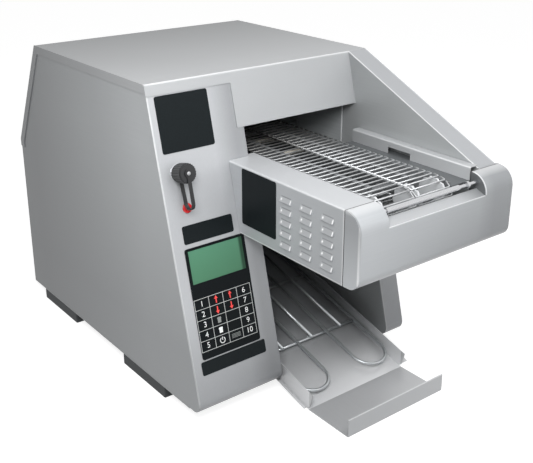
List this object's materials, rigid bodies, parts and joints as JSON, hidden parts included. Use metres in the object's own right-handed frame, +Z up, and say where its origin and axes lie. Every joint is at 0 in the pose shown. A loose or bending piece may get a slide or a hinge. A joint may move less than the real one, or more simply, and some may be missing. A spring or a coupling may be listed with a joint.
{
  "type": "conveyor toaster",
  "caption": "Countertop conveyor toaster with a sloping control column, a wire belt feeding an oven, a side wing and a slide-out tray with a wire rack.",
  "frame": {"origin": "centre of the bounding box, on the table under the feet", "axes": "+Z up, the feed end faces -Y, the control column is on the -X side"},
  "size_m": [0.375, 0.696, 0.441],
  "materials": {
    "cabinet_steel": "brushed stainless steel sheet",
    "cover_steel": "brushed stainless steel sheet",
    "nose_steel": "brushed stainless steel sheet",
    "inner_steel": "plain steel sheet",
    "guard_steel": "plain steel sheet",
    "oven_steel": "aluminised steel, dulled by heat",
    "frame_steel": "plain steel",
    "shaft_steel": "ground steel bar",
    "bush_bronze": "sintered bronze",
    "belt_wire": "bright steel wire",
    "rod_chrome": "bright steel rod",
    "heater_quartz": "milky quartz tube",
    "ceramic": "unglazed ceramic",
    "tray_steel": "satin stainless steel sheet",
    "rack_wire": "bright steel wire",
    "foot_rubber": "black rubber",
    "keypad_film": "black printed membrane",
    "display_green": "green display behind a clear window",
    "lens_red": "red lamp lens",
    "collar_metal": "plated metal",
    "cap_plastic": "black plastic",
    "strap_rubber": "soft black plastic",
    "gland_plastic": "black nylon",
    "motor_paint": "grey painted casting",
    "board_green": "circuit board",
    "block_plastic": "moulded plastic",
    "fan_plastic": "black plastic",
    "screw_steel": "plated screw"
  },
  "bodies": {
    "housing": {"base_pan": "inner_steel", "belt_rails": "frame_steel", "cap_strap": "strap_rubber", "column_inner_wall": "inner_steel", "control_board": "board_green", "control_face": "cabinet_steel", "conveyor_cover": "cabinet_steel", "conveyor_frame_left": "frame_steel", "conveyor_frame_right": "frame_steel", "conveyor_pan": "inner_steel", "cord_gland": "gland_plastic", "discharge_chute": "oven_steel", "display_window": "display_green", "drive_bush": "bush_bronze", "edge_shelf": "guard_steel", "fan_frame": "fan_plastic", "feed_lip": "nose_steel", "foot_screws": "screw_steel", "gearmotor": "motor_paint", "guard_rod": "rod_chrome", "heater_insulators": "ceramic", "indicator_lens": "lens_red", "keypad_overlay": "keypad_film", "left_side_panel": "cabinet_steel", "lower_heaters": "heater_quartz", "motor_bracket": "inner_steel", "nose_cover": "nose_steel", "oven_liner_left": "oven_steel", "oven_liner_right": "oven_steel", "port_collar": "collar_metal", "rear_deflector": "oven_steel", "rear_panel": "cabinet_steel", "rear_screws": "screw_steel", "rubber_feet": "foot_rubber", "shaft_bushes": "bush_bronze", "side_guard": "guard_steel", "terminal_block": "block_plastic", "tie_rods": "frame_steel", "top_cover": "cover_steel", "top_reflector": "oven_steel", "upper_heaters": "heater_quartz", "wing_band": "cabinet_steel", "wing_inner_panel": "inner_steel", "wing_leg_front": "cabinet_steel", "wing_outer_panel": "cabinet_steel"},
    "drive": {"drive_shaft": "shaft_steel", "drive_coupling": "shaft_steel", "drive_sprockets": "frame_steel", "belt_rear_wrap": "belt_wire"},
    "idler": {"idler_shaft": "shaft_steel", "idler_sprockets": "frame_steel", "belt_front_wrap": "belt_wire"},
    "belt_upper": {"belt_upper_run": "belt_wire"},
    "belt_lower": {"belt_lower_run": "belt_wire"},
    "tray": {"toast_tray": "tray_steel", "toast_rack": "rack_wire"},
    "cap": {"port_cap": "cap_plastic"},
    "fan": {"fan_rotor": "fan_plastic"}
  },
  "joints": [
    {"name": "drive_turn", "type": "hinge", "parent": "housing", "child": "drive", "pos_m": [0.032, 0.22941, 0.30374], "axis": [-1, 0, 0], "range_deg": [0, 25.71]},
    {"name": "idler_turn", "type": "hinge", "parent": "housing", "child": "idler", "pos_m": [0.032, -0.304, 0.30374], "axis": [-1, 0, 0], "range_deg": [0, 25.71]},
    {"name": "belt_upper_slide", "type": "slide", "parent": "housing", "child": "belt_upper", "axis": [0, 1, 0], "range_m": [0, 0.01089]},
    {"name": "belt_lower_slide", "type": "slide", "parent": "housing", "child": "belt_lower", "axis": [0, -1, 0], "range_m": [0, 0.01089]},
    {"name": "tray_slide", "type": "slide", "parent": "housing", "child": "tray", "axis": [0, -1, 0], "range_m": [0, 0.3]},
    {"name": "cap_turn", "type": "hinge", "parent": "housing", "child": "cap", "pos_m": [-0.1595, -0.1108, 0.3322], "axis": [0, -0.9692, 0.2463], "range_deg": [0, 90]},
    {"name": "fan_spin", "type": "hinge", "parent": "housing", "child": "fan", "pos_m": [-0.1185, 0.325, 0.11], "axis": [0, 1, 0], "continuous": true}
  ],
  "couplings": [
    {"joint": "drive_turn", "follows": "belt_upper_slide", "rad_per_m": 41.227},
    {"joint": "idler_turn", "follows": "belt_upper_slide", "rad_per_m": 41.227},
    {"joint": "belt_lower_slide", "follows": "belt_upper_slide", "ratio": 1}
  ]
}
